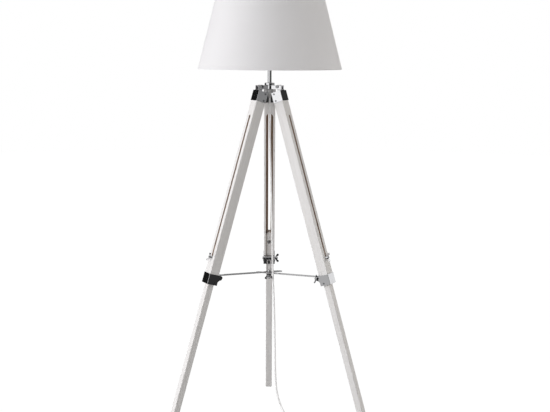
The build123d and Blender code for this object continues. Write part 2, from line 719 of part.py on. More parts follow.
switch_turn = radians(switch_angle)
switch_half = switch_length / 2 + switch_boss_length
switch_in = (switch_center[0] + switch_half * cos(switch_turn),
             switch_center[1] + switch_half * sin(switch_turn), switch_cord_z)
switch_out = (switch_center[0] - switch_half * cos(switch_turn),
              switch_center[1] - switch_half * sin(switch_turn), switch_cord_z)
switch_lead = (switch_in[0] + switch_lead_length * cos(switch_turn),
               switch_in[1] + switch_lead_length * sin(switch_turn), switch_cord_z)
switch_tail = (switch_out[0] - switch_lead_length * cos(switch_turn),
               switch_out[1] - switch_lead_length * sin(switch_turn), switch_cord_z)
coil_in = (coil_center[0] - coil_radii[-1], coil_center[1] - coil_stub, cord_radius)
coil_out_z = cord_radius * (2 * coil_layers - 1)
coil_out = (coil_center[0] + coil_stub, coil_center[1] + coil_radii[-1], coil_out_z)
plug_tail = (-12.0, -88.0, plug_height / 2)
plug_lead = (plug_tail[0] - plug_lead_length * cos(radians(plug_angle)),
             plug_tail[1] - plug_lead_length * sin(radians(plug_angle)),
             plug_tail[2])

# hangs from the head, passes the hub on its front right side and bends onto the floor
upper_route = [
    (0.0, 0.0, cord_exit_z),
    (0.0, 0.0, 1035.0),
    (1.4, -3.0, 965.0),
    (3.6, -7.2, 880.0),
    (6.6, -13.0, 770.0),
    (9.8, -19.5, 640.0),
    (11.3, -23.0, 560.0),
    (13.3, -25.0, 505.0),
    (16.4, -26.5, 440.0),
    (19.0, -28.5, 355.0),
    (20.6, -30.5, 265.0),
    (22.0, -33.0, 185.0),
    (27.0, -39.0, 126.0),
    (41.0, -54.0, 82.0),
    (62.0, -79.0, 55.0),
    (78.0, -113.0, 35.0),
    (83.0, -149.0, 18.0),
    (74.0, -179.0, 7.0),
    switch_lead,
    switch_in,
]
middle_route = [
    switch_out,
    switch_tail,
    (-96.0, -205.0, 4.0),
    (-111.0, -193.0, cord_radius),
    (-117.0, -174.5, cord_radius),
    (-117.1, -156.0, cord_radius),
    coil_in,
]
end_route = [
    coil_out,
    (coil_out[0] + 14.0, coil_out[1], coil_out_z),
    plug_lead,
    plug_tail,
]
tube_length = cord_tube([upper_route], "cord_upper")
tube_length += cord_tube([middle_route, end_route], "cord_lower")
coil_length = coil_turns * pi * sum(coil_radii)
print("cord length about", round(tube_length + coil_length + 2 * switch_half + coil_stub))

# bundle of turns; the tie sits in a groove around it
bundle_width = coil_radii[-1] - coil_radii[0] + 2 * cord_radius
bundle_height = 2 * cord_radius * coil_layers
bundle_center = (sum(coil_radii) / 2, bundle_height / 2)
coil_axis = Axis((*coil_center, 0), (0, 0, 1))
tie_start = radians(tie_turn)
tie_plane = Plane((*coil_center, 0), x_dir=(cos(tie_start), sin(tie_start), 0),
                  z_dir=(sin(tie_start), -cos(tie_start), 0))
with BuildPart() as cord_coil:
    with BuildSketch(tie_plane):
        with Locations(bundle_center):
            RectangleRounded(bundle_width, bundle_height, cord_radius - 0.05)
    revolve(axis=coil_axis)
    with BuildSketch(tie_plane):
        with Locations(bundle_center):
            Rectangle(bundle_width + 2, bundle_height + 2)
            Rectangle(bundle_width - 2 * tie_thickness, bundle_height - 2 * tie_thickness,
                      mode=Mode.SUBTRACT)
    revolve(axis=coil_axis, revolution_arc=tie_arc, mode=Mode.SUBTRACT)
    # the cord enters and leaves along a tangent
    with BuildSketch(Plane(coil_in, z_dir=(0, 1, 0))):
        Circle(cord_radius)
    extrude(amount=coil_stub)
    with BuildSketch(Plane(coil_out, z_dir=(-1, 0, 0))):
        Circle(cord_radius)
    extrude(amount=coil_stub)
save(cord_coil.part, "cord_coil")

with BuildPart() as coil_tie:
    with BuildSketch(tie_plane):
        with Locations(bundle_center):
            RectangleRounded(bundle_width, bundle_height, cord_radius - 0.05)
            Rectangle(bundle_width - 2 * tie_thickness, bundle_height - 2 * tie_thickness,
                      mode=Mode.SUBTRACT)
    revolve(axis=coil_axis, revolution_arc=tie_arc)
save(coil_tie.part, "coil_tie")

# ------------------------------------------------------------------ inline switch
switch_place = Location((*switch_center, 0), (0, 0, switch_angle))
with BuildPart() as switch_base:
    with BuildSketch(Plane.XY):
        RectangleRounded(switch_length, switch_width, switch_corner)
    extrude(amount=switch_base_height)
    chamfer(switch_base.edges().group_by(Axis.Z)[0], 1.0)
    with BuildSketch(Plane.XY.offset(switch_wall)):
        RectangleRounded(switch_length - 2 * switch_wall, switch_width - 2 * switch_wall,
                         switch_corner - switch_wall)
    extrude(amount=switch_base_height, mode=Mode.SUBTRACT)
    for end in (-1, 1):
        end_wall = end * (switch_length / 2 - switch_wall)
        with BuildSketch(Plane((end_wall, 0, switch_cord_z), z_dir=(end, 0, 0))):
            Circle(switch_boss_radius - 0.6)
        extrude(amount=switch_boss_length + switch_wall)
save(switch_place * switch_base.part, "switch_base")

with BuildPart() as switch_cover:
    with BuildSketch(Plane.XY.offset(switch_base_height)):
        RectangleRounded(switch_length, switch_width, switch_corner)
    extrude(amount=switch_height - switch_base_height)
    fillet(switch_cover.edges().group_by(Axis.Z)[-1], 4.0)
    with BuildSketch(Plane.XY.offset(switch_base_height)):
        RectangleRounded(switch_length - 2 * switch_wall, switch_width - 2 * switch_wall,
                         switch_corner - switch_wall)
    extrude(amount=switch_height - switch_base_height - switch_wall, mode=Mode.SUBTRACT)
    with BuildSketch(Plane.XY.offset(switch_height)):
        Circle(button_radius + running_gap)
    extrude(amount=-2 * switch_wall, mode=Mode.SUBTRACT)
save(switch_place * switch_cover.part, "switch_cover")

flange_top = switch_height - switch_wall - running_gap
save(switch_place * turned([(0, flange_top - button_flange_height),
                            (button_radius + button_flange, flange_top - button_flange_height),
                            (button_radius + button_flange, flange_top), (button_radius, flange_top),
                            (button_radius, switch_height + button_proud - 1.5),
                            (button_radius - 1.5, switch_height + button_proud),
                             (0, switch_height + button_proud)]),
     "switch_button")

# ------------------------------------------------------------------ plug
plug_place = Location(plug_tail, (0, 0, plug_angle))
plug_face = plug_tail_length + plug_body_length
pin_centers = [(-plug_pin_pitch / 2, 0), (plug_pin_pitch / 2, 0)]
with BuildPart() as plug_body:
    with BuildSketch(Plane.YZ.offset(plug_face)):
        RectangleRounded(plug_width, plug_height, 4.0)
    with BuildSketch(Plane.YZ.offset(plug_tail_length)):
        RectangleRounded(2.6 * plug_tail_radius, 2 * plug_tail_radius, 3.0)
    loft()
    with BuildSketch(Plane.YZ.offset(plug_tail_length)):
        Circle(plug_tail_radius - 0.4)
    extrude(amount=-plug_tail_length, taper=4)
    with BuildSketch(Plane.YZ.offset(plug_face)):
        with Locations(*pin_centers):
            Circle(plug_root_radius + pin_clearance)
    extrude(amount=-plug_pin_buried, mode=Mode.SUBTRACT)
save(plug_place * plug_body.part, "plug_body")

with BuildPart() as plug_pins:
    with BuildSketch(Plane.YZ.offset(plug_face)):
        with Locations(*pin_centers):
            Circle(plug_pin_radius)
    extrude(amount=plug_pin_length)
    fillet(plug_pins.edges().group_by(Axis.X)[-1], 1.0)
    with BuildSketch(Plane.YZ.offset(plug_face)):
        with Locations(*pin_centers):
            Circle(plug_root_radius)
    extrude(amount=-plug_pin_buried)
save(plug_place * plug_pins.part, "plug_pins")
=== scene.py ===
"""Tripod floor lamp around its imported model.  Metres, +Z up, the frame of the CAD model."""
import json
import math

import bmesh
import bpy
from mathutils import Matrix, Vector


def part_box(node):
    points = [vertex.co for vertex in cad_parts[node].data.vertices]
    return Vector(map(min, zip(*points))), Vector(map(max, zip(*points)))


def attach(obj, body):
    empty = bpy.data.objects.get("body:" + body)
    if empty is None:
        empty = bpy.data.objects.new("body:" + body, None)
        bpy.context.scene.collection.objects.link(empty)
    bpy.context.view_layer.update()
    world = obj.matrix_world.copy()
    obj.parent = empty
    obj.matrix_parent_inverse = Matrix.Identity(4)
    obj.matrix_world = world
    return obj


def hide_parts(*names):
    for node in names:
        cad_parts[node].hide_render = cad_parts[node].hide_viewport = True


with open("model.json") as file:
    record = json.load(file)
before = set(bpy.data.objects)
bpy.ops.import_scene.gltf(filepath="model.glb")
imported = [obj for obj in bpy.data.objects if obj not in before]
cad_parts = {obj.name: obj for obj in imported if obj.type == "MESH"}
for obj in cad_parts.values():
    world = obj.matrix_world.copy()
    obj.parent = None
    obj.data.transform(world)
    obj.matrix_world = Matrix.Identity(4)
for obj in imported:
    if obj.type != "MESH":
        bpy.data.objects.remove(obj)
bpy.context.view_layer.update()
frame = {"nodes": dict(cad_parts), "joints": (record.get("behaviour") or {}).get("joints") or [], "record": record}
nodes = frame["nodes"]
joints = {joint["name"]: joint for joint in frame["joints"]}
SIDES = ("left", "right", "back")
MM = 0.001


# ------------------------------------------------------------------ camera
CAMERA_LENS = 61.4
CAMERA_PLACE = (0.0070, -2.9622, 1.2205)
CAMERA_TILT = 9.276          # degrees below level
CAMERA_ROLL = -0.30
CAMERA_PAN = -0.172


def make_camera():
    """Camera at eye height in front of the lamp, looking slightly down."""
    data = bpy.data.cameras.new("camera")
    data.lens = CAMERA_LENS
    data.sensor_width = 36.0
    camera = bpy.data.objects.new("camera", data)
    camera.location = CAMERA_PLACE
    camera.rotation_euler = [math.radians(angle) for angle in (90 - CAMERA_TILT, CAMERA_ROLL, CAMERA_PAN)]
    bpy.context.scene.collection.objects.link(camera)
    bpy.context.scene.camera = camera


make_camera()


# ------------------------------------------------------------------ node helpers
EDGE_SAMPLES = 6             # rays for crevices and soft edges
CREVICE_OPEN = 0.85          # openness that counts as fully open


def scaled(color, factor=1.0):
    """A colour made darker or lighter, with alpha 1."""
    return (*(min(1.0, factor * c) for c in color), 1)


def grey(tone):
    return (tone, tone, tone, 1)


class Tree:
    """Short calls for building a node tree."""

    def __init__(self, tree):
        self.tree = tree

    def add(self, kind, **values):
        node = self.tree.nodes.new(kind)
        for key, value in values.items():
            setattr(node, key, value)
        return node

    def link(self, output, socket):
        self.tree.links.new(output, socket)

    def plug(self, socket, value):
        """Links a socket, or sets a number or colour."""
        if isinstance(value, bpy.types.NodeSocket):
            self.link(value, socket)
        else:
            socket.default_value = value

    def math(self, operation, a, b=0.0, c=0.0, clamp=False):
        node = self.add("ShaderNodeMath", operation=operation, use_clamp=clamp)
        for socket, value in zip(node.inputs, (a, b, c)):
            self.plug(socket, value)
        return node.outputs[0]

    def blend(self, factor, first, second):
        """Mix of two shaders."""
        node = self.add("ShaderNodeMixShader")
        self.plug(node.inputs["Fac"], factor)
        self.link(first, node.inputs[1])
        self.link(second, node.inputs[2])
        return node.outputs[0]

    def attribute(self, name):
        return self.add("ShaderNodeAttribute", attribute_name=name).outputs["Vector"]

    def position(self):
        return self.add("ShaderNodeTexCoord").outputs["Object"]

    def split(self, vector):
        node = self.add("ShaderNodeSeparateXYZ")
        self.link(vector, node.inputs[0])
        return node.outputs

    def stretch(self, vector, scale, offset=(0, 0, 0)):
        node = self.add("ShaderNodeMapping")
        self.link(vector, node.inputs["Vector"])
        node.inputs["Scale"].default_value = scale
        node.inputs["Location"].default_value = offset
        return node.outputs[0]

    def noise(self, vector, scale, detail=3.0, roughness=0.5, distortion=0.0):
        node = self.add("ShaderNodeTexNoise")
        self.link(vector, node.inputs["Vector"])
        node.inputs["Scale"].default_value = scale
        node.inputs["Detail"].default_value = detail
        node.inputs["Roughness"].default_value = roughness
        node.inputs["Distortion"].default_value = distortion
        return node.outputs["Fac"]

    def ramp(self, value, low, high, out_low=0.0, out_high=1.0):
        node = self.add("ShaderNodeMapRange", clamp=True, interpolation_type="SMOOTHSTEP")
        self.plug(node.inputs["Value"], value)
        limits = {"From Min": low, "From Max": high, "To Min": out_low, "To Max": out_high}
        for key, number in limits.items():
            self.plug(node.inputs[key], number)
        return node.outputs["Result"]

    def mix(self, factor, first, second):
        node = self.add("ShaderNodeMix", data_type="RGBA")
        self.plug(node.inputs["Factor"], factor)
        self.plug(node.inputs["A"], first)
        self.plug(node.inputs["B"], second)
        return node.outputs["Result"]


class Nodes(Tree):
    """A material's node tree, with its Principled shader."""

    def __init__(self, name):
        self.material = bpy.data.materials.new(name)
        self.material.use_nodes = True
        super().__init__(self.material.node_tree)
        self.shader = self.tree.nodes["Principled BSDF"]

    def bump(self, height, strength, distance, normal=None):
        node = self.add("ShaderNodeBump")
        node.inputs["Strength"].default_value = strength
        node.inputs["Distance"].default_value = distance
        self.link(height, node.inputs["Height"])
        if normal is not None:
            self.link(normal, node.inputs["Normal"])
        return node.outputs[0]

    def painted_crevice_shade(self, distance, depth):
        """Painted shade mask: 1 in the open, falling towards 0 in joints and corners narrower than a distance."""
        node = self.add("ShaderNodeAmbientOcclusion", samples=EDGE_SAMPLES)
        node.inputs["Distance"].default_value = distance
        return self.ramp(node.outputs["AO"], depth, CREVICE_OPEN)

    def soft_edges(self, radius):
        node = self.add("ShaderNodeBevel", samples=EDGE_SAMPLES)
        node.inputs["Radius"].default_value = radius
        return node.outputs[0]

    def finish(self, color=None, roughness=None, normal=None, **constants):
        for key, value in (("Base Color", color), ("Roughness", roughness), ("Normal", normal)):
            if value is not None:
                self.plug(self.shader.inputs[key], value)
        for key, value in constants.items():
            self.shader.inputs[key.replace("_", " ")].default_value = value
        return self.material

    def show(self, shader):
        """Makes a shader the material's surface."""
        self.link(shader, self.tree.nodes["Material Output"].inputs["Surface"])
        return self.material

    def let_light_through(self, color, share):
        """Thin sheet: part of the light that reaches one side leaves on the other."""
        through = self.add("ShaderNodeBsdfTranslucent")
        self.link(color, through.inputs["Color"])
        return self.show(self.blend(share, self.shader.outputs[0], through.outputs[0]))


# ------------------------------------------------------------------ materials
PAINT_THIN = (0.775, 0.760, 0.742, 1)
PAINT_FULL = (0.835, 0.825, 0.810, 1)
PAINT_STAIN = (0.80, 0.785, 0.760, 1)
PAINT_PORE = (0.60, 0.575, 0.545, 1)
PAINT_RUBBED = (0.52, 0.44, 0.36, 1)
RAW_DARK = (0.460, 0.335, 0.250, 1)
RAW_PALE = (0.600, 0.465, 0.365, 1)
RAW_GRAIN = (0.280, 0.190, 0.135, 1)
# Painted shade: near-black that stands in for the shadow inside a screw's cross slot
PAINTED_RECESS_SHADE = (0.010, 0.010, 0.011, 1)
GLASS_PALE = (0.90, 0.895, 0.88, 1)
GLASS_DIM = (0.84, 0.835, 0.82, 1)
LINER_PALE = (0.93, 0.925, 0.915, 1)
LINER_DIM = (0.90, 0.89, 0.88, 1)
CLOTH_LIGHT_THROUGH = 0.34
LINER_LIGHT_THROUGH = 0.45


def painted_wood(name, half_depth, half_width, center):
    """White paint over wood: brushed grain, faint stains, and edges rubbed a little thin."""
    n = Nodes(name)
    leg = n.attribute("leg")
    across, along_pin, _ = n.split(leg)
    grain = n.noise(n.stretch(leg, (1, 1, 0.035)), 420, 4, 0.62)
    pores = n.noise(n.stretch(leg, (1, 1, 0.02), (3, 1, 2)), 1500, 2, 0.5)
    cloud = n.noise(n.stretch(leg, (1, 1, 0.25), (7, 2, 5)), 22, 3, 0.6)
    to_face = n.math("SUBTRACT", half_depth, n.math("ABSOLUTE", n.math("SUBTRACT", across, center)))
    to_side = n.math("SUBTRACT", half_width, n.math("ABSOLUTE", along_pin))
    to_edge = n.math("ADD", to_face, to_side)
    rub = n.noise(n.stretch(leg, (1, 1, 0.5), (1, 4, 3)), 160, 4, 0.7)
    worn = n.math("MULTIPLY", n.ramp(to_edge, 2.2 * MM, 1.0 * MM), n.ramp(rub, 0.52, 0.72))
    paint = n.mix(n.ramp(grain, 0.3, 0.72), PAINT_THIN, PAINT_FULL)
    paint = n.mix(n.ramp(cloud, 0.35, 0.75, 0.0, 0.35), paint, PAINT_STAIN)
    paint = n.mix(n.ramp(pores, 0.64, 0.76, 0.0, 0.22), paint, PAINT_PORE)
    color = n.mix(n.math("MULTIPLY", worn, 0.55), paint, PAINT_RUBBED)
    height = n.math("SUBTRACT", grain, n.math("MULTIPLY", pores, 0.5))
    normal = n.bump(height, 0.08, 0.2 * MM, n.soft_edges(0.7 * MM))
    rough = n.ramp(grain, 0.25, 0.8, 0.36, 0.52)
    return n.finish(color, rough, normal, Specular_IOR_Level=0.45)


def raw_wood(name):
    """Unpainted wood where the legs are milled out."""
    n = Nodes(name)
    leg = n.attribute("leg")
    grain = n.noise(n.stretch(leg, (1, 1, 0.03)), 520, 5, 0.6, 0.4)
    band = n.noise(n.stretch(leg, (1, 1, 0.06), (2, 5, 1)), 90, 3, 0.5, 0.8)
    tone = n.mix(n.ramp(band, 0.3, 0.7), RAW_DARK, RAW_PALE)
    tone = n.mix(n.ramp(grain, 0.5, 0.72, 0.0, 0.55), tone, RAW_GRAIN)
    return n.finish(tone, n.ramp(grain, 0.3, 0.7, 0.62, 0.8), n.bump(grain, 0.35, 0.5 * MM),
                    Specular_IOR_Level=0.3)


def chrome(name, tint=(0.86, 0.86, 0.875), rough=0.05, edge=0.5 * MM, scratch=0.03, recessed=False):
    """Bright plated metal with handling haze, hairline marks, and painted shade that darkens joints and crevices.
    """
    n = Nodes(name)
    place = n.position()
    haze = n.noise(place, 55, 4, 0.6)
    hair = n.noise(n.stretch(place, (1, 1, 0.08)), 900, 2, 0.5)
    spots = n.noise(n.stretch(place, (1, 1, 1), (4, 9, 2)), 700, 1, 0.4)
    roughness = n.ramp(haze, 0.42, 0.78, rough, rough + 0.11)
    dark = n.mix(n.ramp(spots, 0.70, 0.78, 0.0, 0.35), scaled(tint), scaled(tint, 0.6))
    # Painted shade: the metal goes nearly black in joints and crevices narrower than 5 mm
    dark = n.mix(n.painted_crevice_shade(5 * MM, 0.25), scaled(tint, 0.10), dark)
    normal = n.bump(hair, scratch, 0.05 * MM, n.soft_edges(edge))
    if recessed:
        # Painted shade: the cross slot has no depth in the mesh, so it is coloured near-black where its shadow
        # would be; the bump gives its shape
        drive = cross_recess(n)
        dark = n.mix(drive, dark, PAINTED_RECESS_SHADE)
        normal = n.bump(n.math("SUBTRACT", 1.0, drive), 0.8, 0.4 * MM, normal)
    return n.finish(dark, roughness, normal, Metallic=1.0)


def cross_recess(n):
    """Cross slot of a screw, from the head's own coordinates (radius 1, depth below the face)."""
    u, v, depth = n.split(n.attribute("head"))
    u, v = n.math("ABSOLUTE", u), n.math("ABSOLUTE", v)
    one = n.math("MULTIPLY", n.ramp(u, 0.17, 0.11), n.ramp(v, 0.62, 0.52))
    other = n.math("MULTIPLY", n.ramp(v, 0.17, 0.11), n.ramp(u, 0.62, 0.52))
    on_face = n.ramp(depth, 0.5 * MM, 0.3 * MM)
    return n.math("MULTIPLY", n.math("MAXIMUM", one, other), on_face)


def moulded_plastic(name, color, rough, grain=0.12, scale=1400, edge=0.6 * MM):
    """Moulded plastic: fine texture, slight shade and gloss variation, soft edges."""
    n = Nodes(name)
    place = n.position()
    fine = n.noise(place, scale, 2, 0.6)
    broad = n.noise(place, 40, 3, 0.55)
    tone = n.mix(n.ramp(broad, 0.35, 0.7), scaled(color), scaled(color, 0.93))
    return n.finish(tone, n.ramp(broad, 0.3, 0.75, rough, rough + 0.12),
                    n.bump(fine, grain, 0.12 * MM, n.soft_edges(edge)))


def powder_coat(name, color):
    """Sprayed coat with a fine orange-peel surface."""
    n = Nodes(name)
    place = n.position()
    orange_peel = n.noise(place, 900, 2, 0.5)
    tone = n.mix(n.ramp(n.noise(place, 70), 0.4, 0.7), scaled(color), scaled(color, 0.94))
    return n.finish(tone, n.ramp(orange_peel, 0.3, 0.7, 0.36, 0.48), n.bump(orange_peel, 0.2, 0.1 * MM))


def plated_metal(name, tint, rough):
    """Dull plated metal with cloudy gloss."""
    n = Nodes(name)
    place = n.position()
    cloud = n.noise(place, 260, 3, 0.6)
    tone = n.mix(n.ramp(cloud, 0.35, 0.7), scaled(tint), scaled(tint, 0.82))
    return n.finish(tone, n.ramp(cloud, 0.3, 0.7, rough, rough + 0.14), n.soft_edges(0.3 * MM), Metallic=1.0)


def opal_glass(name):
    """Bulb glass with an even white coat inside."""
    n = Nodes(name)
    coat = n.noise(n.position(), 30, 3, 0.5)
    tone = n.mix(n.ramp(coat, 0.35, 0.7), GLASS_PALE, GLASS_DIM)
    return n.finish(tone, n.ramp(coat, 0.3, 0.7, 0.10, 0.16), None, Transmission_Weight=0.25,
                    Coat_Weight=0.6, Coat_Roughness=0.04)


THREAD = 0.62 * MM           # spacing of the weave


def woven_shade(name, color, dark):
    """Linen-look weave of warp and weft, with slubs, on the shade's own flat cut."""
    n = Nodes(name)
    cloth = n.attribute("cloth")
    u, v, _ = n.split(cloth)
    wobble = n.math("MULTIPLY", n.math("SUBTRACT", n.noise(cloth, 60, 2), 0.5), 2.2)
    turn = 2 * math.pi / THREAD
    warp = n.math("SINE", n.math("ADD", n.math("MULTIPLY", u, turn), wobble))
    weft = n.math("SINE", n.math("ADD", n.math("MULTIPLY", v, turn), wobble))
    over = n.math("GREATER_THAN", n.math("MULTIPLY", n.math("SINE", n.math("MULTIPLY", u, turn / 2)),
                                         n.math("SINE", n.math("MULTIPLY", v, turn / 2))), 0.0)
    threads = n.math("ADD", n.math("MULTIPLY", over, n.math("ABSOLUTE", warp)),
                     n.math("MULTIPLY", n.math("SUBTRACT", 1.0, over), n.math("ABSOLUTE", weft)))
    slub_up = n.noise(n.stretch(cloth, (1, 0.03, 1)), 900, 2, 0.5)
    slub_across = n.noise(n.stretch(cloth, (0.03, 1, 1), (5, 3, 1)), 900, 2, 0.5)
    slubs = n.math("MAXIMUM", n.ramp(slub_up, 0.55, 0.78), n.ramp(slub_across, 0.55, 0.78))
    tone = n.mix(n.ramp(threads, 0.0, 0.9), scaled(dark), scaled(color))
    tone = n.mix(n.math("MULTIPLY", slubs, 0.16), tone, scaled(color, 1.05))
    cloud = n.noise(cloth, 9, 3, 0.5)
    tone = n.mix(n.ramp(cloud, 0.35, 0.7, 0.0, 0.25), tone, scaled(color, 0.95))
    height = n.math("ADD", threads, n.math("MULTIPLY", slubs, 0.8))
    n.finish(tone, n.ramp(threads, 0.0, 1.0, 0.95, 0.82), n.bump(height, 0.35, 0.22 * MM),
             Sheen_Weight=0.15, Sheen_Roughness=0.5, Specular_IOR_Level=0.15)
    return n.let_light_through(tone, CLOTH_LIGHT_THROUGH)


def shade_liner(name):
    """Smooth white styrene sheet that the fabric is laminated to."""
    n = Nodes(name)
    cloth = n.attribute("cloth")
    ripple = n.noise(cloth, 24, 3, 0.5)
    tone = n.mix(n.ramp(ripple, 0.35, 0.7), LINER_PALE, LINER_DIM)
    n.finish(tone, n.ramp(ripple, 0.3, 0.7, 0.42, 0.55), n.bump(ripple, 0.15, 0.4 * MM))
    return n.let_light_through(tone, LINER_LIGHT_THROUGH)


WHITE_PLASTIC = (0.80, 0.80, 0.79)
UPPER_WOOD = painted_wood("painted_upper_leg", half_depth=16 * MM, half_width=18 * MM, center=-4.5 * MM)
LOWER_WOOD = painted_wood("painted_lower_leg", half_depth=10.25 * MM, half_width=11 * MM, center=-5.55 * MM)
RAW_WOOD = raw_wood("raw_wood")
SLOT_MATERIALS = {
    "chrome": chrome("chrome"),
    "zinc_screws": chrome("screws", (0.50, 0.50, 0.52), 0.12, 0.25 * MM, recessed=True),
    "shade_wire": powder_coat("white_wire", (0.80, 0.80, 0.79)),
    "holder_plastic": moulded_plastic("holder_plastic", WHITE_PLASTIC, 0.22, 0.05),
    "holder_insert": plated_metal("holder_brass", (0.78, 0.60, 0.30), 0.28),
    "bulb_glass": opal_glass("bulb_glass"),
    "bulb_cap": plated_metal("bulb_cap", (0.76, 0.76, 0.77), 0.25),
    "cord_pvc": moulded_plastic("cord_pvc", (0.90, 0.895, 0.885), 0.30, 0.08, 700, 0.2 * MM),
    "tie": moulded_plastic("tie_plastic", (0.030, 0.030, 0.032), 0.38, 0.1, 900, 0.2 * MM),
    "switch_plastic": moulded_plastic("switch_plastic", WHITE_PLASTIC, 0.24, 0.06),
    "plug_plastic": moulded_plastic("plug_plastic", (0.77, 0.77, 0.76), 0.36, 0.16),
    "plug_pins": plated_metal("plug_pins", (0.80, 0.78, 0.74), 0.22),
    "clamp_bolt": plated_metal("clamp_bolt", (0.82, 0.82, 0.83), 0.40),
    "rubber_pad": moulded_plastic("foot_rubber", (0.62, 0.62, 0.61), 0.62, 0.3, 600, 0.3 * MM),
    "painted_wood": UPPER_WOOD,
}


# Limits of the milled-out wood in an upper leg's own frame
GROOVE_HALF_WIDTH = 11.6 * MM
GROOVE_FLOOR = 5.2 * MM
SLOT_HALF_WIDTH = 4.1 * MM
SLOT_OUTER_END = 11.3 * MM
MILLED_BELOW = -80 * MM
SCREW_TURN = 0.9             # radians from one screw's cross to the next


def leg_matrix(side):
    """A leg's own frame: X outwards, Y along its hinge pin, Z up along the leg."""
    fold = joints[f"{side}_leg_fold"]
    pin = Vector(fold["axis"]).normalized()
    along = Vector(joints[f"{side}_lower_leg_slide"]["axis"]).normalized()
    frame_axes = Matrix((pin.cross(along), pin, along)).transposed()
    return Matrix.Translation(fold["pos_m"]) @ frame_axes.to_4x4()


LEGS = {side: leg_matrix(side) for side in SIDES}


def leg_coordinates(node, side):
    """Stores each vertex's place in its leg's frame, which the wood's grain follows."""
    to_leg = LEGS[side].inverted()
    values = node.data.attributes.new("leg", "FLOAT_VECTOR", "POINT")
    for vertex, value in zip(node.data.vertices, values.data):
        value.vector = to_leg @ vertex.co


def islands(node):
    """Vertex indices of each separate solid of a node."""
    bm = bmesh.new()
    bm.from_mesh(node.data)
    left = set(bm.verts)
    groups = []
    while left:
        stack, group = [left.pop()], []
        while stack:
            vertex = stack.pop()
            group.append(vertex.index)
            for edge in vertex.link_edges:
                other = edge.other_vert(vertex)
                if other in left:
                    left.remove(other)
                    stack.append(other)
        groups.append(group)
    bm.free()
    return groups


def distance_to_leg(side, spot):
    """Distance from a leg's middle plane plus distance from its hinge."""
    local = LEGS[side].inverted() @ spot
    return abs(local.y) + local.length


def head_coordinates(node, sides):
    """Stores on each screw the place across its head, in head radii, and the depth below its face."""
    values = node.data.attributes.new("head", "FLOAT_VECTOR", "POINT").data
    for count, group in enumerate(islands(node)):
        spots = [node.data.vertices[index].co for index in group]
        middle = sum(spots, Vector()) / len(spots)
        to_leg = LEGS[min(sides, key=lambda side: distance_to_leg(side, middle))].inverted()
        local = [to_leg @ spot for spot in spots]
        face = 1 if sum(p.y for p in local) > 0 else -1
        center = Vector(((min(p.x for p in local) + max(p.x for p in local)) / 2, 0,
                         (min(p.z for p in local) + max(p.z for p in local)) / 2))
        radius = max(math.hypot(p.x - center.x, p.z - center.z) for p in local)
        top = max(face * p.y for p in local)
        turn = Matrix.Rotation(SCREW_TURN * count, 3, "Y")
        for index, point in zip(group, local):
            across = turn @ (point - center)
            values[index].vector = (across.x / radius, across.z / radius, top - face * point.y)


def paint_cad_nodes():
    """Gives each CAD node its material.  The shade's slot has none here, as a new piece replaces it."""
    slots = {part["node"]: part["material_slot"] for part in frame["record"]["subparts"]}
    for name, node in nodes.items():
        node.data.materials.clear()
        node.data.materials.append(SLOT_MATERIALS.get(slots[name]))
    head_coordinates(nodes["hinge_screws"], SIDES)
    for side in SIDES:
        head_coordinates(nodes[f"bracket_screws_{side}"], (side,))
        upper, lower = nodes[f"upper_leg_{side}"], nodes[f"lower_leg_{side}"]
        leg_coordinates(upper, side)
        leg_coordinates(lower, side)
        lower.data.materials[0] = LOWER_WOOD
        nodes[f"clamp_bolt_{side}"].data.materials[0] = SLOT_MATERIALS["clamp_bolt"]
        upper.data.materials.append(RAW_WOOD)
        to_leg = LEGS[side].inverted()
        for face in upper.data.polygons:
            middle = to_leg @ face.center
            in_groove = abs(middle.y) < GROOVE_HALF_WIDTH and middle.x < GROOVE_FLOOR
            in_slot = abs(middle.y) < SLOT_HALF_WIDTH and middle.x < SLOT_OUTER_END
            if (in_groove or in_slot) and middle.z < MILLED_BELOW:
                face.material_index = 1


paint_cad_nodes()


# ------------------------------------------------------------------ mesh helpers
def new_piece(name, mesh_data, body, slot, *materials):
    """An object on a body, with the given materials.  The slot argument is not used."""
    piece = bpy.data.objects.new(name, mesh_data)
    bpy.context.scene.collection.objects.link(piece)
    for material in materials:
        piece.data.materials.append(material)
    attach(piece, body)
    return piece


def mesh_from(bm, name, smooth_angle):
    """A smooth mesh with sharp edges above an angle in degrees."""
    bmesh.ops.recalc_face_normals(bm, faces=bm.faces)
    for face in bm.faces:
        face.smooth = True
    data = bpy.data.meshes.new(name)
    bm.to_mesh(data)
    bm.free()
    data.set_sharp_from_angle(angle=math.radians(smooth_angle))
    return data


# ------------------------------------------------------------------ mains cord
# Places along the cord are in millimetres.
CORD_RADIUS = 2.75 * MM
COIL_CENTER = (-81.25, -118.0)
COIL_RADII = (30.25, 35.75)
COIL_LEVELS = (2.75, 8.25)
COIL_STUB = 21.0
COIL_STEP = 15               # degrees
COIL_RUN_OUT = 14.0
SWITCH_CENTER = (-16.0, -203.0)
SWITCH_TURN = math.radians(4)
SWITCH_HALF = 40.0
SWITCH_LEAD = 18.0
SWITCH_CORD_Z = 5.0
PLUG_TAIL = (-12.0, -88.0, 7.0)
PLUG_TURN = math.radians(-10)
PLUG_LEAD = 16.0


def along_switch(distance):
    return (SWITCH_CENTER[0] + distance * math.cos(SWITCH_TURN),
            SWITCH_CENTER[1] + distance * math.sin(SWITCH_TURN), SWITCH_CORD_Z)


def along_plug(distance):
    return (PLUG_TAIL[0] + distance * math.cos(PLUG_TURN), PLUG_TAIL[1] + distance * math.sin(PLUG_TURN),
            PLUG_TAIL[2])


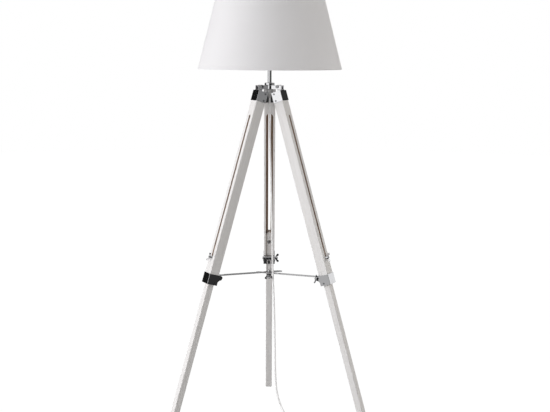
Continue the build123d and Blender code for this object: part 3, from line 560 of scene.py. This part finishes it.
def coil_points():
    """Three and a quarter turns: two lanes below, then two above, clockwise from the left side."""
    inner, outer = COIL_RADII
    low, high = COIL_LEVELS
    lanes = [(0, outer, low), (300, outer, low), (340, inner, low), (600, inner, low), (660, inner, high),
             (900, inner, high), (960, outer, high), (1170, outer, high)]
    swell = 1 / math.cos(math.radians(COIL_STEP / 2))
    points = []
    for angle in range(0, lanes[-1][0] + 1, COIL_STEP):
        start, end = next((a, b) for a, b in zip(lanes, lanes[1:]) if a[0] <= angle <= b[0])
        share = (angle - start[0]) / (end[0] - start[0])
        share = share * share * (3 - 2 * share)
        radius = swell * (start[1] + share * (end[1] - start[1]))
        turn = math.radians(180 - angle)
        points.append((COIL_CENTER[0] + radius * math.cos(turn), COIL_CENTER[1] + radius * math.sin(turn),
                       start[2] + share * (end[2] - start[2])))
    return points


def cord_route():
    """Control points from the head down to the floor, through the switch and the coil to the plug."""
    hanging = [
        (0.0, 0.0, 1081.7), (0.0, 0.0, 1035.0), (1.4, -3.0, 965.0), (3.6, -7.2, 880.0), (6.6, -13.0, 770.0),
        (9.8, -19.5, 640.0), (11.3, -23.0, 560.0), (13.3, -25.0, 505.0), (16.4, -26.5, 440.0),
        (19.0, -28.5, 355.0), (20.6, -30.5, 265.0), (22.0, -33.0, 185.0), (27.0, -39.0, 126.0),
        (41.0, -54.0, 82.0), (62.0, -79.0, 55.0), (78.0, -113.0, 35.0), (83.0, -149.0, 18.0),
        (74.0, -179.0, 7.0)]
    switch_ends = (SWITCH_HALF + SWITCH_LEAD, SWITCH_HALF, -SWITCH_HALF, -SWITCH_HALF - SWITCH_LEAD)
    switch = [along_switch(distance) for distance in switch_ends]
    to_coil = [(-96.0, -205.0, 4.0), (-111.0, -193.0, 2.75), (-117.0, -174.5, 2.75), (-117.1, -156.0, 2.75),
               (COIL_CENTER[0] - COIL_RADII[1], COIL_CENTER[1] - COIL_STUB, 2.75)]
    coil_out = (COIL_CENTER[0] + COIL_STUB, COIL_CENTER[1] + COIL_RADII[1], COIL_LEVELS[1])
    run_out = (coil_out[0] + COIL_RUN_OUT, coil_out[1], coil_out[2])
    to_plug = [coil_out, run_out, along_plug(-PLUG_LEAD), along_plug(0)]
    return hanging + switch + to_coil + coil_points() + to_plug


def make_cord():
    curve = bpy.data.curves.new("mains_cord", "CURVE")
    curve.dimensions = "3D"
    curve.resolution_u = 6
    curve.bevel_depth = CORD_RADIUS
    curve.bevel_resolution = 4
    curve.use_fill_caps = True
    route = cord_route()
    spline = curve.splines.new("NURBS")
    spline.points.add(len(route) - 1)
    for point, (x, y, z) in zip(spline.points, route):
        point.co = (x * MM, y * MM, z * MM, 1)
    spline.order_u = 3
    spline.use_endpoint_u = True
    spline.use_smooth = True
    cord = new_piece("mains_cord", curve, "head", "cord_pvc", SLOT_MATERIALS["cord_pvc"])
    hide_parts("cord_upper", "cord_lower", "cord_coil")
    return cord


mains_cord = make_cord()


# ------------------------------------------------------------------ shade
SHADE_SEGMENTS = 288
SHADE_TOP_RADIUS = 147 * MM
SHADE_WALL = 1.5 * MM
SHADE_HEM = 10 * MM
HEM_PROUD = 0.45 * MM
# (distance from the rim, how far it stands out) across a hem
HEM_PROFILE = ((0.0, 0.0), (0.6 * MM, 0.35 * MM), (1.6 * MM, HEM_PROUD), (SHADE_HEM - 0.8 * MM, HEM_PROUD),
               (SHADE_HEM - 0.2 * MM, 0.6 * HEM_PROUD), (SHADE_HEM, 0.0))
BODY_ROWS = 24
SEAM_WIDTH = 12 * MM
SEAM_PROUD = 0.6 * MM


def make_shade():
    """Laminated fabric cone: turned hems on both rims and a lapped seam at the back."""
    low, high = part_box("shade_fabric")
    bottom_radius = (high.x - low.x) / 2
    height = high.z - low.z
    slant = math.hypot(height, bottom_radius - SHADE_TOP_RADIUS)
    rise, inward = height / slant, (bottom_radius - SHADE_TOP_RADIUS) / slant
    apex = bottom_radius / inward
    body_rows = [(SHADE_HEM + (slant - 2 * SHADE_HEM) * k / BODY_ROWS, 0.0) for k in range(1, BODY_ROWS)]
    rows = [*HEM_PROFILE, *body_rows, *((slant - along, push) for along, push in reversed(HEM_PROFILE))]
    half_seam = SEAM_WIDTH / bottom_radius
    bm = bmesh.new()
    cloth = bm.verts.layers.float_vector.new("cloth")

    def column(turn, proud):
        """Vertices of one upright line: outside upwards, then inside downwards."""
        made = []
        outside = [(along, push + proud) for along, push in rows]
        inside = [(along, -SHADE_WALL) for along, _ in reversed(rows[1:-1])]
        for along, push in outside + inside:
            radius = bottom_radius - along * inward + push * rise
            z = low.z + along * rise + push * inward
            vertex = bm.verts.new((radius * math.sin(turn), -radius * math.cos(turn), z))
            unrolled = turn * inward
            vertex[cloth] = ((apex - along) * math.sin(unrolled), (apex - along) * math.cos(unrolled), 0)
            made.append(vertex)
        return made

    columns = []
    for step in range(SHADE_SEGMENTS):
        turn = -math.pi + 2 * math.pi * step / SHADE_SEGMENTS
        if turn < math.pi - half_seam - 1e-6:
            columns.append(column(turn, 0.0))
    for share in (0.0, 0.5, 1.0):
        columns.append(column(math.pi - half_seam * (1 - share), SEAM_PROUD if share else 0.0))
    for first, second in zip(columns, columns[1:] + columns[:1]):
        for k in range(len(first)):
            after = (k + 1) % len(first)
            face = bm.faces.new((first[k], second[k], second[after], first[after]))
            face.material_index = 0 if k < len(rows) - 1 else 1
    data = mesh_from(bm, "fabric_shade", 50)
    fabric = woven_shade("shade_weave", (0.955, 0.95, 0.955), (0.87, 0.865, 0.865))
    shade = new_piece("fabric_shade", data, "head", "shade_fabric", fabric, shade_liner("shade_liner"))
    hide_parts("shade_fabric")
    return shade


shade = make_shade()


# ------------------------------------------------------------------ stage
FLOOR_RADIUS = 9.0
FLOOR_DROP = 0.4 * MM        # keeps the floor clear of the feet
FLOOR_GREY = 0.55            # what the lights fall on
FLOOR_SEEN_WHITE = 1.05      # strength of the white that the camera sees
FLOOR_SEEN_SHARE = 0.95      # the rest of what it sees is the lit floor
# Painted light that mirrors see on the floor: a grey glow that falls off along X
FLOOR_MIRROR_X = (-0.9, -0.15)
FLOOR_MIRROR_GREY = (0.44, 0.03)

# (position, grey) around the room: 0 is left of the lamp, 0.25 in front, 0.5 right and 0.75 behind
BANDS_SHARED = [(0.0, 0.55), (0.04, 1.0), (0.19, 1.0), (0.225, 0.03), (0.37, 0.02), (0.39, 0.23),
                (0.44, 0.23)]
BANDS_ABOVE = [(0.46, 0.02), (0.55, 0.02), (0.66, 0.05), (0.72, 0.45), (0.80, 0.30), (0.85, 0.01),
               (0.965, 0.01)]
BANDS_BELOW = [(0.46, 0.05), (0.53, 0.10), (0.55, 0.80), (0.66, 0.85), (0.72, 0.50), (0.80, 0.20),
               (0.85, 0.01), (0.965, 0.01)]
ABOVE_FROM = (0.07, 0.13)    # upward part of the ray where the upper bands take over
CEILING_FROM = (0.55, 0.8)
CEILING_GREY = (0.55, 0.55, 0.56, 1)

LIGHT_DISTANCE = 4.0
LIGHT_TARGET = Vector((0, 0, 0.8))


def make_stage():
    """Pale floor.  The camera sees it as white, and mirrors see a painted grey glow that falls off to the right,
    standing in for the light on the floor.
    """
    bm = bmesh.new()
    bmesh.ops.create_circle(bm, cap_ends=True, segments=96, radius=FLOOR_RADIUS)
    data = bpy.data.meshes.new("floor")
    bm.to_mesh(data)
    bm.free()
    floor = bpy.data.objects.new("floor", data)
    floor.location.z = -FLOOR_DROP
    bpy.context.scene.collection.objects.link(floor)
    n = Nodes("floor")
    n.finish(grey(FLOOR_GREY), 0.9, Specular_IOR_Level=0.0)
    lit = n.shader.outputs[0]
    white = n.add("ShaderNodeEmission")
    white.inputs["Color"].default_value = grey(1)
    white.inputs["Strength"].default_value = FLOOR_SEEN_WHITE
    # Painted light: a glow that only mirrors see, darker to the right
    mirrored = n.add("ShaderNodeEmission")
    east, _, _ = n.split(n.position())
    mirrored_tone = n.ramp(east, *FLOOR_MIRROR_X, *FLOOR_MIRROR_GREY)
    mirrored_grey = n.add("ShaderNodeCombineXYZ")
    for socket in mirrored_grey.inputs:
        n.link(mirrored_tone, socket)
    n.link(mirrored_grey.outputs[0], mirrored.inputs["Color"])
    rays = n.add("ShaderNodeLightPath")
    seen = n.blend(FLOOR_SEEN_SHARE, lit, white.outputs[0])
    in_mirror = n.blend(rays.outputs["Is Glossy Ray"], lit, mirrored.outputs[0])
    floor.data.materials.append(n.show(n.blend(rays.outputs["Is Camera Ray"], in_mirror, seen)))


def ramp_stops(node, stops):
    """Replaces a colour ramp's stops with (position, grey) pairs."""
    elements = node.color_ramp.elements
    while len(elements) > 1:
        elements.remove(elements[-1])
    elements[0].position, tone = stops[0]
    elements[0].color = grey(tone)
    for position, tone in stops[1:]:
        elements.new(position).color = grey(tone)


def make_world():
    """White to the camera.  All other rays meet grey bands that stand for a studio's flags and walls."""
    world = bpy.data.worlds.new("studio")
    world.use_nodes = True
    bpy.context.scene.world = world
    world.node_tree.nodes.clear()
    w = Tree(world.node_tree)
    x, y, up = w.split(w.add("ShaderNodeTexCoord").outputs["Generated"])
    around = w.add("ShaderNodeMapRange")
    around.inputs["From Min"].default_value = -math.pi
    around.inputs["From Max"].default_value = math.pi
    w.link(w.math("ARCTAN2", y, x), around.inputs["Value"])

    def band(stops):
        node = w.add("ShaderNodeValToRGB")
        ramp_stops(node, stops)
        w.link(around.outputs["Result"], node.inputs["Fac"])
        return node.outputs["Color"]

    def background(color):
        node = w.add("ShaderNodeBackground")
        w.plug(node.inputs["Color"], color)
        return node.outputs[0]

    walls = w.mix(w.ramp(up, *ABOVE_FROM), band(BANDS_SHARED + BANDS_BELOW), band(BANDS_SHARED + BANDS_ABOVE))
    room = w.mix(w.ramp(up, *CEILING_FROM), walls, CEILING_GREY)
    rays = w.add("ShaderNodeLightPath")
    chosen = w.blend(rays.outputs["Is Camera Ray"], background(room), background(grey(1)))
    w.link(chosen, w.add("ShaderNodeOutputWorld").inputs["Surface"])


def area_light(name, direction, size, watts, tint, only=()):
    """Soft square light that mirrors don't show.  With `only` it reaches no other pieces."""
    data = bpy.data.lights.new(name, "AREA")
    data.shape = "RECTANGLE"
    data.size = data.size_y = size
    data.energy = watts
    data.color = tint
    light = bpy.data.objects.new(name, data)
    toward = Vector(direction).normalized()
    light.location = LIGHT_TARGET + LIGHT_DISTANCE * toward
    light.rotation_euler = (-toward).to_track_quat("-Z", "Y").to_euler()
    light.visible_glossy = False
    bpy.context.scene.collection.objects.link(light)
    if only:
        receivers = bpy.data.collections.new(f"{name}_lights")
        for piece in only:
            receivers.objects.link(piece)
        light.light_linking.receiver_collection = receivers


make_stage()
make_world()
area_light("key", (-0.93, -0.36, 0.12), 4.0, 156, (0.985, 0.975, 1.0))
area_light("fill", (0.97, -0.14, 0.20), 3.0, 67, (1.0, 0.965, 0.925))
bpy.context.scene.view_settings.view_transform = "Standard"
bpy.context.scene.view_settings.look = "None"

area_light("shade_front", (-0.10, -0.99, 0.10), 3.0, 15, (1.0, 0.98, 0.98), only=[shade])
cord_pieces = [nodes[name] for name in ("plug_body", "plug_pins", "switch_base", "switch_cover",
                                        "switch_button", "coil_tie")]
area_light("cord_front", (-0.20, -0.97, 0.10), 3.0, 36, (1.0, 0.99, 1.0), only=[mains_cord, *cord_pieces])
